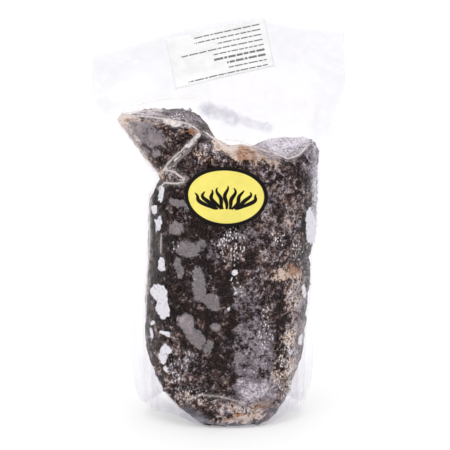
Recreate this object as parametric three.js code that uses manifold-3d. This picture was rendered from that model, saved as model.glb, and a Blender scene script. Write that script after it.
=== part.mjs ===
// Frozen thread mozuku seaweed in a clear stand-up pouch. Millimetres, +Z up, front towards -Y.
// One block of matted brown threads, frozen in its own juice, fills the pouch up to a slanting top face, and a wedge
// of it runs up into the pouch's upper left corner. The pouch is three sheets of film: a front and a back panel, sealed
// along both sides and the top, and a gusset folded between their feet, which opens into the base it stands on.
// An oval label lies on the front of the block, and a plain white one on the empty film above it.

import * as THREE from "three";
import Module from "manifold-3d";

const wasm = await Module();
wasm.setup();

// Driving sizes
const POUCH_HEIGHT = 248;
const FILM_THICKNESS = 0.5;
const FILM_GAP = 0.32; // between the two panels where they are sealed
const CLEARANCE = 1.2; // from the block's envelope to the film's inner face
const SIDE_CLEARANCE = 1.56; // the same at the side seams
const SEAL_SHARE = 0.1; // of a panel's half width, taken by each side seal
const HEADSPACE_FROM = 182; // above this height the panels stretch or shrink to meet the wavy top edge
const LABEL_WIDTH = 50;
const LABEL_HEIGHT = 36;
const LABEL_CENTRE = { x: -0.9, z: 147.5 };
const NOTE_WIDTH = 62;
const NOTE_HEIGHT = 30;
const NOTE_CENTRE = { x: -5, z: 226.6 };
const NOTE_TILT = (12 * Math.PI) / 180;
const LABEL_THICKNESS = 0.4;
const LABEL_GAP = 1; // from the film, clear of its facets

// Relief of the block's surface, larger than life: thread ridges, which wander, and the lumps under them
const THREAD_PITCH = 13;
const THREAD_DEPTH = 2;
const THREAD_BEND = 30; // distance over which a thread's course turns
const LUMP_SIZE = 22;
const LUMP_DEPTH = 1.2;

// Columns and rows of the surfaces' grids
const BLOCK_GRID = { across: 34, up: 50 };
const PANEL_GRID = { across: 22, up: 32 };
const STATION_STEP = 4; // the block's underside and the gusset share stations along x, this far apart
const GUSSET_STATIONS = { first: -12, last: 11 };
const SPAN_ROWS = 22;
const GUSSET_ROWS = 12;

// A smooth curve through hand-chosen [position, value] pairs, which doesn't swing past them.
function through(pairs) {
  const at = pairs.map((p) => p[0]);
  const value = pairs.map((p) => p[1]);
  const step = at.slice(1).map((a, i) => a - at[i]);
  const slope = step.map((s, i) => (value[i + 1] - value[i]) / s);
  const lean = value.map((_, i) => {
    if (i === 0 || i === value.length - 1) return slope[Math.min(i, slope.length - 1)];
    if (slope[i - 1] * slope[i] <= 0) return 0;
    return (2 * slope[i - 1] * slope[i]) / (slope[i - 1] + slope[i]);
  });
  return (x) => {
    if (x <= at[0]) return value[0];
    if (x >= at[at.length - 1]) return value[value.length - 1];
    const i = at.findIndex((a) => a > x) - 1;
    const t = (x - at[i]) / step[i];
    const fromHere = value[i] * (1 + 2 * t) * (1 - t) ** 2 + lean[i] * step[i] * t * (1 - t) ** 2;
    const toNext = value[i + 1] * t * t * (3 - 2 * t) + lean[i + 1] * step[i] * t * t * (t - 1);
    return fromHere + toNext;
  };
}

const clamp = (x, low = 0, high = 1) => Math.min(high, Math.max(low, x));
const mix = (a, b, t) => a + (b - a) * t;
const smooth = (a, b, x) => THREE.MathUtils.smoothstep(x, a, b);
const bell = (x, centre, width) => Math.exp(-(((x - centre) / width) ** 2));

// Repeatable noise between 0 and 1, smooth between the corners of a unit grid.
function noise(x, y, z) {
  const corner = (i, j, k) => {
    const hash = Math.sin(i * 127.1 + j * 311.7 + k * 74.7) * 43758.5453;
    return hash - Math.floor(hash);
  };
  const [i, j, k] = [Math.floor(x), Math.floor(y), Math.floor(z)];
  const [a, b, c] = [x - i, y - j, z - k].map((t) => t * t * (3 - 2 * t));
  const row = (dj, dk) => mix(corner(i, j + dj, k + dk), corner(i + 1, j + dj, k + dk), a);
  return mix(mix(row(0, 0), row(1, 0), b), mix(row(0, 1), row(1, 1), b), c);
}

// The pouch's and the block's edges seen from the front: height to x.
const filmLeft = through([
  [0, -55], [12, -58.6], [45, -59.9], [75, -56.8], [105, -54.6], [130, -52.8], [143, -50], [150, -45.6],
  [157, -49.6], [165, -56.5], [180, -67], [190, -74.8], [198, -80], [206, -83.3], [POUCH_HEIGHT, -83],
]);
const filmRight = through([
  [0, 48], [20, 52.6], [45, 53.6], [75, 55], [105, 57], [130, 59.2], [165, 61.7], [190, 65], [200, 69], [210, 71.8],
  [POUCH_HEIGHT, 71],
]);
const blockLeft = through([
  [0, -50], [45, -51.3], [75, -50.6], [105, -48.7], [130, -48], [143, -45.5], [150, -41.5], [157, -46],
  [165, -53], [180, -63.5], [190, -71.2], [198, -74], [206, -75.3], [POUCH_HEIGHT, -75],
]);
const blockRight = through([
  [0, 45.5], [45, 46.8], [75, 49.4], [90, 51], [99, 49.6], [110, 52.5], [130, 54.3], [165, 55], [180, 55.5],
  [190, 57], [206, 64], [POUCH_HEIGHT, 63],
]);

// Half depth of the block by height, in front of the side seams and behind them.
const frontBulge = through([
  [0, 34], [15, 37], [45, 39], [90, 40], [130, 39], [150, 37], [170, 34], [185, 32], [200, 22],
]);
const backBulge = through([
  [0, 33], [15, 36], [45, 38.5], [90, 39], [130, 37.5], [155, 34], [175, 28], [190, 20], [200, 14],
]);

// Underside of the block and upper edge of its front face, by x. Between x -12 and 20 the base is flat.
const BASE_LIFT = FILM_THICKNESS + 0.45;
const underside = through([
  [-60, 60], [-52, 50], [-48, 36], [-40, 20.4], [-32, 13], [-22, 5.5], [-12, BASE_LIFT], [20, BASE_LIFT],
  [29, 6.6], [35, 14], [41, 26.6], [46, 40], [49.5, 54], [60, 66],
]);
const rim = through([
  [-80, 190], [-71, 190], [-48, 190], [-35, 187.5], [-20, 182.5], [-14, 178], [-8, 172.5], [8, 170.5], [26, 167.5],
  [38, 165], [45, 167.5], [54, 172], [70, 174],
]);

// Above the rim, by x: the top face's crest, a quarter of the way back, and its edge at the back panel, which dips
// between the wedge and the right shoulder.
const CREST_AT = 0.25;
const crestRise = through([
  [-80, 1], [-48, 1.2], [-24, 2.4], [-15, 4], [-7, 6.5], [0, 5.5], [12, 6], [20, 3], [30, 1.5], [60, 2],
]);
const backRise = through([
  [-60, 3], [-48, 4.2], [-35, 6], [-24, 7], [-14, 5], [-7, -5], [0, -8], [12, -7], [20, 1], [30, 7], [38, 10],
  [47, 8.5], [53, 2], [60, 2],
]);
const LEAST_BACK_RISE = 6.7; // the back panel leaves the block at least this much above the front one

// Above the rim the panels close over a short height on the wedge, and over a longer one from x 4 on.
const WEDGE_TENT = { height: 27, until: -34 };
const BODY_TENT = { height: 52, from: 4 };

// The deep fold that parts the wedge from the rest: from the notch in the left edge up to the rim.
const WEDGE_FOLD = { x: -42, z: 150, run: 22, rise: 32, width: 4.5, depth: 6 };

// Free edges of the panels, by x: the top one stands at full height near the middle, and the foot is wavy.
const topEdge = through([
  [-83, 223.7], [-54, 233.2], [-30, 240], [-9, 245], [16, POUCH_HEIGHT], [30, 244], [44, 241.5], [71, 240],
]);
const footEdge = through([
  [-58, 9], [-48, 5], [-39, 7.5], [-28, 7], [-20, 1.2], [-14, 5], [-5, 1.5], [3, 0.4], [21, 0.4], [30, 3], [36, 6],
  [44, 4.5], [52, 9],
]);

// How far the sheets stand back from the side seams' plane: the empty top leans away and bends.
function midPlane(x, z) {
  const above = smooth(165, POUCH_HEIGHT, z);
  return above * (9 + 2.5 * Math.sin(x / 19 + 0.6)) + 1.2 * smooth(195, 215, z) * Math.sin(x / 11 + z / 24);
}

// Folds that block and film share, as a depth taken from the front face.
function frontFolds(x, z) {
  const fold = WEDGE_FOLD;
  const [across, up] = [x - fold.x, z - fold.z];
  const along = clamp((across * fold.run + up * fold.rise) / (fold.run ** 2 + fold.rise ** 2));
  const apart = Math.hypot(across - fold.run * along, up - fold.rise * along);
  const corner = fold.depth * bell(apart, 0, fold.width) * smooth(-48, -38, x);
  const rightRoll = 2.8 * bell(x, 29 + (z - 50) * 0.05, 5) * smooth(8, 22, z) * (1 - smooth(78, 98, z));
  const leftRoll = 1.1 * bell(x, -23, 4) * smooth(50, 70, z) * (1 - smooth(120, 140, z));
  const waist = 2.2 * bell(z, 99 + (x - 40) * 0.08, 4) * smooth(18, 34, x);
  const foot = 1.5 * bell(z, 18 - 0.2 * x, 3.5) * smooth(-36, -24, x) * (1 - smooth(18, 28, x));
  return corner + rightRoll + leftRoll + waist + foot;
}

function backFolds(x, z) {
  const spine = 2.4 * bell(x, -6 + 7 * Math.sin(z / 38), 7) * smooth(12, 30, z) * (1 - smooth(150, 170, z));
  const cross = 1.8 * bell(z, 118 - x * 0.18, 5);
  return spine + cross;
}

// Depth of the block's envelope in front of (side -1) or behind (side 1) the seams at x and z, grown by extra.
function envelope(side, x, z, extra) {
  const left = blockLeft(z) - extra * (SIDE_CLEARANCE / CLEARANCE);
  const right = blockRight(z) + extra * (SIDE_CLEARANCE / CLEARANCE);
  const across = clamp((2 * x - left - right) / (right - left), -1, 1);
  const wedge = across < 0 ? smooth(148, 168, z) : 0;
  const share = (1 - Math.abs(across) ** mix(2.4, 1.35, wedge)) ** mix(0.6, 0.85, wedge);
  const bulge = side < 0 ? frontBulge(z) : backBulge(z);
  const folds = side < 0 ? frontFolds(x, z) : backFolds(x, z);
  return Math.max(0, (bulge + extra) * share - folds * share);
}

// The same for the film, which leaves the block at its rim and closes like a tent towards the top seal.
function filmDepth(side, x, z) {
  const edge = rim(x) + (side < 0 ? 0 : Math.max(LEAST_BACK_RISE, backRise(x) + 0.8));
  if (z <= edge) return envelope(side, x, z, CLEARANCE);
  const height = mix(WEDGE_TENT.height, BODY_TENT.height, smooth(WEDGE_TENT.until, BODY_TENT.from, x));
  const risen = clamp((z - edge) / height);
  return envelope(side, x, edge, CLEARANCE) * (1 - risen) ** 1.5;
}

// Relief of the matted threads and lumps, from 0 on the ridges inwards: two courses of threads cross each other.
function reliefDepth(x, y, z) {
  const bend = (seed) => 3.4 * (noise(x / THREAD_BEND + seed, y / THREAD_BEND, z / THREAD_BEND) - 0.5);
  const over = Math.abs(Math.sin(Math.PI * ((0.5 * z + 0.8 * x - 0.3 * y) / THREAD_PITCH + bend(3))));
  const under = Math.abs(Math.sin(Math.PI * ((0.8 * z - 0.5 * x + 0.4 * y) / (THREAD_PITCH * 1.3) + bend(41))));
  const lumps = noise(x / LUMP_SIZE + 7, y / LUMP_SIZE, z / LUMP_SIZE);
  return THREAD_DEPTH * Math.min(over, under) + LUMP_DEPTH * lumps;
}

// Geometry from shared corners and the faces between them.
function geometryOf(corners, faces) {
  const made = new THREE.BufferGeometry();
  made.setAttribute("position", new THREE.BufferAttribute(new Float32Array(corners.flat()), 3));
  made.setIndex(faces);
  made.computeVertexNormals();
  return made;
}

function solidOf(geometry) {
  const vertProperties = geometry.getAttribute("position").array;
  return new wasm.Manifold(
    new wasm.Mesh({ numProp: 3, vertProperties, triVerts: new Uint32Array(geometry.index.array) }),
  );
}

function geometryFrom(solid) {
  const mesh = solid.getMesh();
  const made = new THREE.BufferGeometry();
  made.setAttribute("position", new THREE.BufferAttribute(mesh.vertProperties, 3));
  made.setIndex(new THREE.BufferAttribute(mesh.triVerts, 1));
  made.computeVertexNormals();
  return made;
}

// A closed sheet between two matching grids of points, both `columns` + 1 wide, with its rims stitched.
function sheetBetween(outer, inner, columns) {
  const corners = [...outer, ...inner];
  const wide = columns + 1;
  const rows = outer.length / wide - 1;
  const under = outer.length;
  const faces = [];
  const quad = (a, b, c, d) => faces.push(a, b, c, a, c, d);
  for (let j = 0; j < rows; j++) {
    for (let i = 0; i < columns; i++) {
      const at = j * wide + i;
      quad(at, at + 1, at + wide + 1, at + wide);
      quad(under + at, under + at + wide, under + at + wide + 1, under + at + 1);
    }
  }
  for (let i = 0; i < columns; i++) {
    const top = rows * wide + i;
    quad(i, under + i, under + i + 1, i + 1);
    quad(top, top + 1, under + top + 1, under + top);
  }
  for (let j = 0; j < rows; j++) {
    const left = j * wide;
    const right = left + columns;
    quad(left, left + wide, under + left + wide, under + left);
    quad(right, under + right, under + right + wide, right + wide);
  }
  return geometryOf(corners, faces);
}

// Moves each point of a surface given by `point(s, t)` along its own normal.
function offsetGrid(point, columns, rows, distance) {
  const step = 1e-3;
  const made = [];
  for (let j = 0; j <= rows; j++) {
    for (let i = 0; i <= columns; i++) {
      const s = i / columns;
      const t = j / rows;
      const s0 = Math.max(0, s - step);
      const t0 = Math.max(0, t - step);
      const along = point(Math.min(1, s0 + 2 * step), t).sub(point(s0, t));
      const up = point(s, Math.min(1, t0 + 2 * step)).sub(point(s, t0));
      const normal = along.cross(up).normalize();
      made.push(point(s, t).addScaledVector(normal, distance).toArray());
    }
  }
  return made;
}

// A point on a panel's inner face: s runs from the left edge to the right one, t from the foot to the top.
function panelPoint(side, s, t) {
  const u = 2 * s - 1;
  const level = POUCH_HEIGHT * t;
  const left = filmLeft(level);
  const right = filmRight(level);
  const innerLeft = blockLeft(level) - SIDE_CLEARANCE;
  const innerRight = blockRight(level) + SIDE_CLEARANCE;
  const inside = 1 - SEAL_SHARE;
  const w = u / inside;
  const full = 1 - smooth(185, 215, level);
  let x;
  if (w < -1) x = mix(innerLeft, left, (-u - inside) / SEAL_SHARE);
  else if (w > 1) x = mix(innerRight, right, (u - inside) / SEAL_SHARE);
  else x = mix(innerLeft, innerRight, 0.5 + 0.5 * mix(w, Math.sin((w * Math.PI) / 2), full));
  const foot = footEdge(x) * (1 - smooth(0, 26, level));
  const head = (topEdge(x) - POUCH_HEIGHT) * smooth(HEADSPACE_FROM, POUCH_HEIGHT, level);
  const z = level + foot + head;
  const depth = Math.abs(w) < 1 ? filmDepth(side, x, Math.min(level, z)) : 0;
  return new THREE.Vector3(x, midPlane(x, z) + side * Math.max(depth, FILM_GAP / 2), z);
}

function panel(side) {
  const { across: columns, up: rows } = PANEL_GRID;
  const surface = (s, t) => panelPoint(side, s, t);
  const inner = offsetGrid(surface, columns, rows, 0);
  const outer = offsetGrid(surface, columns, rows, -side * FILM_THICKNESS);
  return side < 0 ? sheetBetween(outer, inner, columns) : sheetBetween(inner, outer, columns);
}

// The gusset: over each x it climbs from the front foot, crosses under the block and comes down to the back foot.
const GUSSET_INSET = 1.25; // from the panels' inner faces
const GUSSET_RIM = 1 / 6; // share of the sheet that stands at each end, against a panel
const GUSSET_LEAN = 1.5;

function gussetPoint(x, t) {
  const height = underside(x) - BASE_LIFT;
  const foot = Math.min(Math.max(footEdge(x), 0), height);
  const front = filmDepth(-1, x, 0) - GUSSET_INSET;
  const back = filmDepth(1, x, 0) - GUSSET_INSET;
  const frontRim = clamp(t / GUSSET_RIM);
  const backRim = clamp((1 - t) / GUSSET_RIM);
  const crossing = clamp((t - GUSSET_RIM) / (1 - 2 * GUSSET_RIM));
  const y = mix(-front + GUSSET_LEAN * frontRim, back - GUSSET_LEAN * backRim, crossing);
  return new THREE.Vector3(x, y, mix(foot, height, Math.min(frontRim, backRim)));
}

function gusset() {
  const columns = GUSSET_STATIONS.last - GUSSET_STATIONS.first;
  const under = [];
  const over = [];
  for (let j = 0; j <= GUSSET_ROWS; j++) {
    for (let i = 0; i <= columns; i++) {
      const p = gussetPoint(STATION_STEP * (GUSSET_STATIONS.first + i), j / GUSSET_ROWS);
      const inset = 1 - FILM_THICKNESS / Math.max(8, Math.abs(p.y));
      under.push([p.x, p.y * inset, p.z]);
      over.push([p.x, p.y, p.z + FILM_THICKNESS]);
    }
  }
  return sheetBetween(over, under, columns);
}

// Splits the quad a, b, c, d along its shorter diagonal, which follows a ridge or a groove.
function alongRidge(corners, a, b, c, d) {
  const length = (p, q) => Math.hypot(...corners[p].map((v, i) => v - corners[q][i]));
  return length(a, c) < length(b, d) ? [a, b, c, a, c, d] : [a, b, d, b, c, d];
}

// The block: a loft of closed rings, cut below by the gusset's form and above by the top face.
function blockLoft() {
  const { across: columns, up: rows } = BLOCK_GRID;
  const corners = [];
  const faces = [];
  const ringLength = 2 * columns;
  const low = -3;
  const high = 203;
  for (let j = 0; j <= rows; j++) {
    const z = mix(low, high, j / rows);
    const left = blockLeft(z);
    const right = blockRight(z);
    for (let k = 0; k < ringLength; k++) {
      const side = k <= columns ? -1 : 1;
      const w = k <= columns ? (2 * k) / columns - 1 : 3 - (2 * k) / columns;
      const x = mix(left, right, 0.5 + 0.5 * Math.sin((w * Math.PI) / 2));
      const depth = envelope(side, x, z, 0);
      const y = side * depth;
      const middle = (left + right) / 2;
      const outward = new THREE.Vector2((x - middle) / (right - left), y / (frontBulge(z) * 2)).normalize();
      const inwards = reliefDepth(x, y, z) * smooth(0, 12, depth + 12 * (1 - Math.abs(w)));
      corners.push([x - outward.x * inwards, midPlane(x, z) + y - outward.y * inwards, z]);
    }
  }
  for (let j = 0; j < rows; j++) {
    for (let k = 0; k < ringLength; k++) {
      const a = j * ringLength + k;
      const b = j * ringLength + ((k + 1) % ringLength);
      faces.push(...alongRidge(corners, a, b, b + ringLength, a + ringLength));
    }
  }
  for (const [row, flip] of [[0, true], [rows, false]]) {
    const hub = corners.length;
    const z = mix(low, high, row / rows);
    corners.push([(blockLeft(z) + blockRight(z)) / 2, midPlane(0, z), z]);
    for (let k = 0; k < ringLength; k++) {
      const a = row * ringLength + k;
      const b = row * ringLength + ((k + 1) % ringLength);
      if (flip) faces.push(hub, b, a);
      else faces.push(hub, a, b);
    }
  }
  return solidOf(geometryOf(corners, faces));
}

// Height of the top face over the rim at x, some way behind the rim.
function topRise(x, behindRim) {
  const back = clamp(behindRim / (envelope(-1, x, rim(x), 0) + envelope(1, x, rim(x), 0) + 1));
  if (back < CREST_AT) return crestRise(x) * smooth(0, CREST_AT, back);
  return mix(crestRise(x), backRise(x), (back - CREST_AT) / (1 - CREST_AT));
}

// The space between the block's underside and its top face, as one closed solid.
function blockSpan() {
  const reach = { left: -21 * STATION_STEP, right: 17 * STATION_STEP, front: -50, back: 58 };
  const columns = (reach.right - reach.left) / STATION_STEP;
  const top = [];
  const bottom = [];
  for (let j = 0; j <= SPAN_ROWS; j++) {
    for (let i = 0; i <= columns; i++) {
      const x = mix(reach.left, reach.right, i / columns);
      const y = mix(reach.front, reach.back, j / SPAN_ROWS);
      const behindRim = y - midPlane(x, rim(x)) + envelope(-1, x, rim(x), 0);
      const topFace = rim(x) + topRise(x, behindRim) - 1.2 * reliefDepth(x, y, rim(x));
      const rounding = 3.2 * (1 - smooth(0, 9, behindRim));
      top.push([x, y, topFace - rounding]);
      const lowFace = underside(x) + 0.7 * reliefDepth(x, y, 0) * smooth(1.2, 8, underside(x));
      bottom.push([x, y, Math.min(lowFace, topFace - 6)]);
    }
  }
  return solidOf(sheetBetween(top, bottom, columns));
}

function seaweedBlock() {
  const solid = blockLoft().intersect(blockSpan());
  const bodies = solid.decompose();
  bodies.sort((a, b) => b.volume() - a.volume());
  return geometryFrom(bodies[0]);
}

// A label follows the front panel's outer face: `outline(s, t)` gives its point seen from the front.
function frontFace(x, z) {
  const reach = 0.4;
  const at = (px, pz) => midPlane(px, pz) - Math.max(filmDepth(-1, px, pz), FILM_GAP / 2);
  const y = at(x, z);
  const slopeX = (at(x + reach, z) - at(x - reach, z)) / (2 * reach);
  const slopeZ = (at(x, z + reach) - at(x, z - reach)) / (2 * reach);
  return { point: new THREE.Vector3(x, y, z), normal: new THREE.Vector3(slopeX, -1, slopeZ).normalize() };
}

function labelSheet(outline, columns, rows) {
  const under = [];
  const over = [];
  for (let j = 0; j <= rows; j++) {
    for (let i = 0; i <= columns; i++) {
      const { x, z } = outline(i / columns, j / rows);
      const { point, normal } = frontFace(x, z);
      const lift = FILM_THICKNESS + LABEL_GAP;
      under.push(point.clone().addScaledVector(normal, lift).toArray());
      over.push(point.clone().addScaledVector(normal, lift + LABEL_THICKNESS).toArray());
    }
  }
  return sheetBetween(over, under, columns);
}

// A square mapped smoothly onto a disc, so that the oval needs no pole.
function ovalOutline(s, t) {
  const a = 2 * s - 1;
  const b = 2 * t - 1;
  return {
    x: LABEL_CENTRE.x + (LABEL_WIDTH / 2) * a * Math.sqrt(1 - (b * b) / 2),
    z: LABEL_CENTRE.z + (LABEL_HEIGHT / 2) * b * Math.sqrt(1 - (a * a) / 2),
  };
}

function noteOutline(s, t) {
  const a = (s - 0.5) * NOTE_WIDTH;
  const b = (t - 0.5) * NOTE_HEIGHT;
  return {
    x: NOTE_CENTRE.x + a * Math.cos(NOTE_TILT) - b * Math.sin(NOTE_TILT),
    z: NOTE_CENTRE.z + a * Math.sin(NOTE_TILT) + b * Math.cos(NOTE_TILT),
  };
}

const seaweedMaterial = new THREE.MeshStandardMaterial({ color: 0x3a2c28, roughness: 0.62, metalness: 0 });
const filmMaterial = new THREE.MeshStandardMaterial({
  color: 0xf2f2f6,
  roughness: 0.14,
  metalness: 0,
  transparent: true,
  opacity: 0.22,
});
const labelMaterial = new THREE.MeshStandardMaterial({ color: 0xf2df62, roughness: 0.45, metalness: 0 });
const noteMaterial = new THREE.MeshStandardMaterial({ color: 0xfbfbfa, roughness: 0.5, metalness: 0 });

const pouch = new THREE.Group();

function add(name, geometry, material) {
  const mesh = new THREE.Mesh(geometry, material);
  mesh.name = name;
  pouch.add(mesh);
}

add("seaweed_block", seaweedBlock(), seaweedMaterial);
add("film_front", panel(-1), filmMaterial);
add("film_back", panel(1), filmMaterial);
add("film_gusset", gusset(), filmMaterial);
add("oval_label", labelSheet(ovalOutline, 12, 10), labelMaterial);
add("note_label", labelSheet(noteOutline, 10, 5), noteMaterial);

// The origin is the middle of the base, under the whole object's box.
const bounds = new THREE.Box3().setFromObject(pouch);
const centre = bounds.getCenter(new THREE.Vector3());
pouch.position.set(-centre.x, -centre.y, -bounds.min.z);

export default pouch;
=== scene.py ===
"""Frozen thread mozuku in a clear stand-up pouch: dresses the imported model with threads, frost and film."""

import math
import random

import bmesh
import bpy
import numpy as np
from bpy.props import FloatProperty, FloatVectorProperty, IntProperty, PointerProperty
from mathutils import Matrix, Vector, noise
from mathutils.bvhtree import BVHTree


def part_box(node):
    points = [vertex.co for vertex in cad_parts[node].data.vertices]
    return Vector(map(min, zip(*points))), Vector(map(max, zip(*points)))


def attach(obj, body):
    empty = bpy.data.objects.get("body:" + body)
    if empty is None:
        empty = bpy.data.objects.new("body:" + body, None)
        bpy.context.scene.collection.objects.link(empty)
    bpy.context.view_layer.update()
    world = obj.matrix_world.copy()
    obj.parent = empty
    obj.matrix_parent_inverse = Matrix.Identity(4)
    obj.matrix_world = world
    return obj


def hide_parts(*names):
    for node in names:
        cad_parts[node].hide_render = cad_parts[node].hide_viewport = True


bl_info = {
    "name": "Frozen mozuku pouch",
    "version": (1, 0, 0),
    "blender": (4, 5, 0),
    "location": "View3D > Sidebar > Mozuku",
    "description": "Dresses a clear pouch of frozen thread seaweed: threads, frost, creased film and labels",
    "category": "Object",
}

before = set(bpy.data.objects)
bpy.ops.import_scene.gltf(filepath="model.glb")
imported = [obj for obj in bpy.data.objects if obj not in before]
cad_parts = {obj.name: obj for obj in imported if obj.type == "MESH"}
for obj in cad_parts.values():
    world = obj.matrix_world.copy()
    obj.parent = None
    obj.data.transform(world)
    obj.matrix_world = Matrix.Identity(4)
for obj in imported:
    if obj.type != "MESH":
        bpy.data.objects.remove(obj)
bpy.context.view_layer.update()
BODY = "root"
MM = 0.001
VIEW_TILT = math.radians(13)
NOISE_SEED = 12  # the vector noise takes its offsets from the clock unless it is seeded
SMOOTHINGS = 9  # passes over the remeshed block
THREAD_SIDES = 5
THREAD_STRIDE = 0.0021
THREAD_FLOOR = 0.006  # threads end above this height
WEDGE_FROM = 0.14  # the wedge in the upper left corner, which stays free of threads, starts at this height
WEDGE_RIGHT = -0.028  # and lies to the left of this
TOP_REACH = 0.034  # how far back the marks hold on the block's top
JUICE_REACH = 0.006  # the same for cream, peach and amber juice, which lie near the rim
FRONT_LEVELS, BACK_LEVELS = 3, 2  # subdivision of the film's panels
BACK_SEED = 21
OVAL_HALF = Vector((0.025, 0.018))
NOTE_HALF = Vector((0.031, 0.015))
NOTE_TILT = math.radians(12)
PAPER_LIFT = 0.00006  # from the film to a label's paper
PRINT_LIFT = 0.00008  # the same for what is printed on it, before the paper's own thickness
OVAL_INK, NOTE_INK = 0.00004, 0.00003  # thickness of what is printed
MOTIF_STRANDS = 4  # on each side of the middle one
BAR_ROWS = 9
BOLD_ROWS = (5, 6)
BAR_PITCH = 0.0031
NO_POCKET = -9.0  # millimetres: the depth written where there is no air pocket
FAR = 1e3  # millimetres: further than any line

# Marks on the front, in millimetres as the front is seen from 13 degrees above: across, up, width, height,
# tilt in degrees and, but for the air pockets, strength. Across is the frame's X, and up runs along the
# tilted view.
# Air pockets between the film and the block: the film is painted white there, a painted reflection of the
# light in the gap.
AIR_POCKETS = [
    (-34.7, 136.3, 3.6, 9.0, -8), (-39.6, 127.1, 2.6, 4.6, 0), (-36.8, 118.8, 5.0, 8.4, 4),
    (-35.0, 93.6, 5.0, 8.2, 0), (-36.2, 76.0, 10.0, 11.4, 24), (-34.2, 67.4, 8.0, 15.0, 8),
    (-32.2, 50.9, 6.8, 3.2, -24), (-41.8, 50.6, 2.4, 7.0, 6), (-31.9, 41.0, 6.8, 5.8, 0),
    (-34.1, 36.0, 5.2, 6.6, 20), (-32.5, 29.0, 3.3, 4.2, 0), (-41.0, 57.8, 2.4, 4.0, -20),
    (56.6, 117.0, 7.0, 22.0, 3), (52.0, 76.6, 3.8, 8.0, 8), (51.2, 46.9, 2.8, 8.6, -14),
    (10.1, 88.9, 4.6, 3.8, 30), (6.3, 66.5, 2.0, 2.6, 0),
]
# Veils where the film stands just off the seaweed: a painted grey sheen of the film over thin gaps.
SMOOTH_VEILS = [
    (-38.5, 170.2, 10, 7, -25, 0.9), (-38.0, 161.2, 4.5, 4, -30, 0.8), (-19.5, 163.5, 3.4, 30, -42, 0.55),
    (-48.0, 178.5, 16, 5, -14, 0.6), (-44.0, 173.5, 26, 13, -30, 0.44),
    (-24.2, 131.0, 10.5, 5.2, -14, 0.65), (-18.4, 127.6, 6.5, 6, -30, 0.5), (-25.7, 116.4, 8.4, 9.4, 36, 0.8),
    (-18.9, 102.6, 15, 9, -10, 0.6), (-11.0, 105.0, 7, 8, 0, 0.5), (-12.4, 81.6, 8, 19, 4, 0.65),
    (-19.5, 57.5, 9, 13, 32, 1.2), (-14.5, 50.0, 9, 18, 32, 0.7), (-4.4, 71.0, 12, 8, -30, 0.6),
    (12.0, 37.0, 5, 8, 0, 0.7), (-23.9, 178.6, 20, 4.4, -13, 0.62), (-24.0, 92.0, 5, 12, 10, 0.5),
    (-2.0, 56.0, 7, 5, 20, 0.6), (-6.0, 43.0, 5, 9, -20, 0.5), (12.0, 78.0, 6, 4, 0, 0.5),
]
FROST_PATCHES = [
    (19.3, 31.0, 22, 28, 0, 1.05), (21.0, 16.5, 24, 17, 0, 1.9), (29.5, 40.0, 9, 38, 0, 1.0),
    (57.5, 156.0, 8, 26, 0, 1.4), (35.0, 163.0, 12, 8, -20, 1.4), (21.0, 52.0, 17, 30, -18, 1.0),
    (18.0, 73.0, 22, 20, 0, 0.8), (12.0, 45.0, 13, 12, 0, 0.7), (17.5, 111.0, 18, 12, 0, 0.7),
    (-18.0, 33.0, 18, 16, 0, 0.6),
    (-14.0, 20.0, 20, 10, 0, 0.55), (-12.0, 84.0, 14, 24, 0, 0.6), (-18.0, 101.0, 20, 14, 0, 0.6),
    (-20.0, 125.0, 16, 12, 0, 0.5), (2.0, 109.0, 14, 9, 30, 0.75), (30.0, 125.0, 26, 30, 0, 0.4),
    (-46.0, 174.0, 26, 14, -25, 0.8), (0.0, 62.0, 10, 16, 0, 0.4), (8.0, 146.0, 20, 6, 0, 0.35),
    (43.0, 173.0, 40, 26, 12, 2.6), (59.5, 138.0, 4.5, 74, 1, 2.2), (-40.0, 12.0, 14, 9, -40, 1.5),
    (51.0, 54.0, 8, 80, -4, 0.8), (32.0, 14.0, 26, 16, 30, 1.0),
    (-23.0, 184.0, 34, 12, 0, 1.0), (-43.0, 186.0, 24, 6, 0, 1.3),
    (-43.0, 166.0, 14, 10, -40, 0.8), (-2.0, 100.0, 8, 16, 20, 0.7),
]
CREAM_PATCHES = [
    (47.5, 73.0, 13, 30, 4, 1.4), (46.0, 42.0, 14, 40, -8, 1.7), (42.5, 20.0, 20, 26, -20, 1.8),
    (40.0, 88.4, 21, 8, 6, 1.1), (38.0, 125.0, 34, 52, 0, 0.5), (34.0, 100.0, 26, 16, 0, 0.5),
    (-36.0, 24.0, 8, 12, 20, 0.7), (-12.0, 8.5, 34, 8, -16, 0.9), (20.0, 6.5, 28, 12, 6, 1.8),
    (28.0, 11.0, 28, 16, 20, 1.7), (36.0, 30.0, 10, 24, 0, 1.0), (-28.0, 30.0, 18, 34, 10, 0.6),
    (-27.0, 146.0, 12, 10, 0, 0.7), (-7.0, 161.0, 18, 15, 0, 1.0), (-27.0, 167.0, 26, 20, -35, 0.5),
    (6.0, 104.0, 12, 20, 0, 0.5), (-50.0, 166.0, 20, 12, -40, 0.8), (-44.0, 181.0, 30, 7, -14, 0.9),
    (-53.0, 179.5, 15, 9, -35, 1.7),
    (24.0, 66.0, 26, 44, 0, 0.3), (20.0, 152.0, 44, 12, -18, 0.4), (-45.0, 160.0, 22, 8, -52, 1.1),
    (24.0, 165.0, 40, 12, -20, 0.8),
]
PEACH_PATCHES = [
    (-60.0, 183.6, 17, 7, -14, 1.6), (12.0, 164.5, 30, 13, -18, 1.5), (26.0, 162.5, 26, 9, -28, 1.4),
    (7.0, 166.5, 14, 10, -12, 2.8), (-55.0, 181.0, 17, 10, -30, 2.4), (39.0, 87.6, 18, 8, 6, 0.78),
    (27.0, 7.5, 12, 6, 20, 1.2), (14.0, -1.5, 34, 6, 8, 1.0), (46.5, 88.0, 11, 9, 0, 0.85),
    (-50.0, 168.0, 22, 5, -52, 0.55), (-18.0, 173.0, 12, 8, -30, 0.5), (54.0, 135.0, 4, 26, 0, 0.3),
]
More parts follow.
